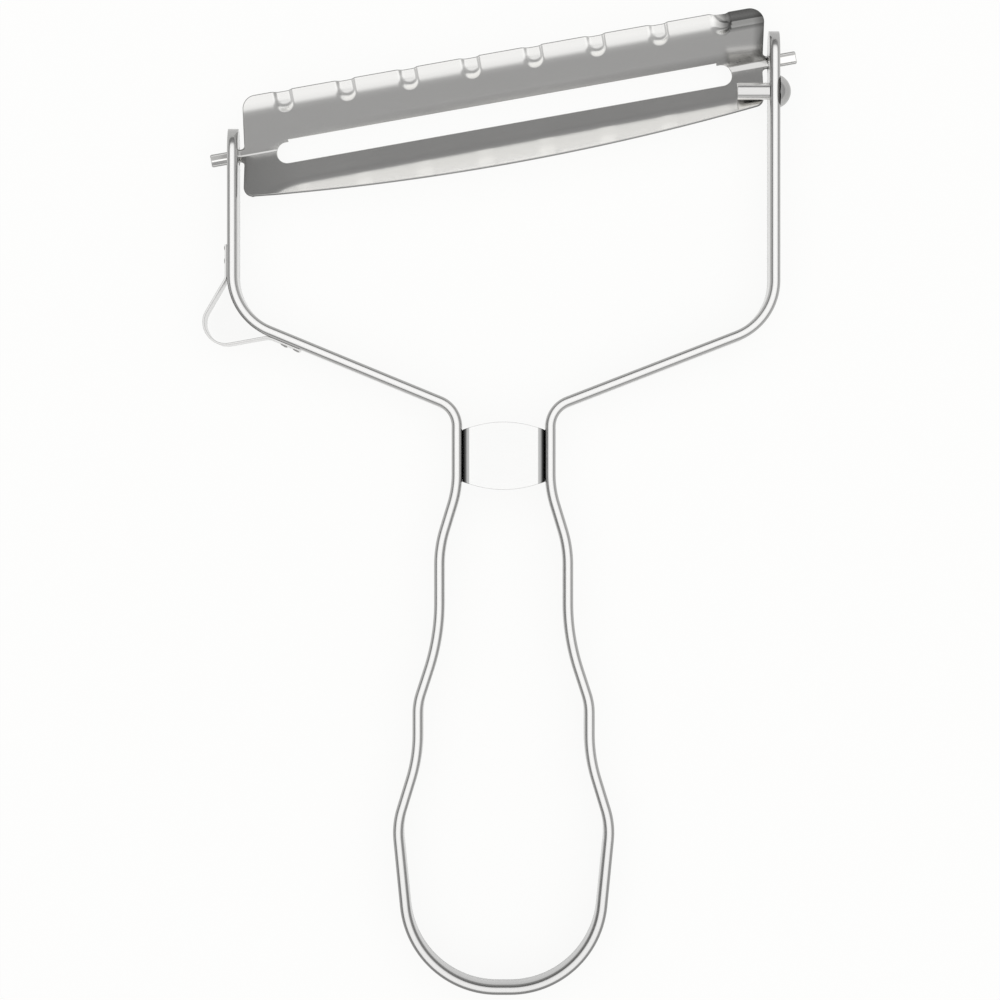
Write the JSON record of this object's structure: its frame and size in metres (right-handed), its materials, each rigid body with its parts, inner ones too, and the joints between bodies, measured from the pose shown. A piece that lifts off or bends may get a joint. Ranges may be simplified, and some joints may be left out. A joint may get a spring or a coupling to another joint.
{
  "type": "vegetable peeler",
  "caption": "Wide steel peeler: a bent flat bar makes a loop handle and arms that carry a slanted, slotted blade that swivels, with a strip eye remover on one shoulder.",
  "frame": {"origin": "middle of the handle loop's foot, on the flat back edge of the bar that the peeler lies on", "axes": "+X to the right seen from the front, +Y along the handle towards the blade, +Z out of the front"},
  "size_m": [0.1149, 0.1896, 0.0109],
  "materials": {
    "bar_steel": "polished",
    "plate_steel": "polished",
    "strip_steel": "satin",
    "pin_steel": "polished",
    "blade_steel": "satin"
  },
  "bodies": {
    "frame": {"frame": "bar_steel", "waist_plate": "plate_steel", "eye_remover": "strip_steel", "stop_pin": "pin_steel"},
    "blade": {"blade": "blade_steel"}
  },
  "joints": [
    {"name": "blade_swing", "type": "hinge", "parent": "frame", "child": "blade", "pos_m": [0, 0.1697, 0.0031], "axis": [0.985, 0.1724, 0], "range_deg": [0, 50]}
  ]
}
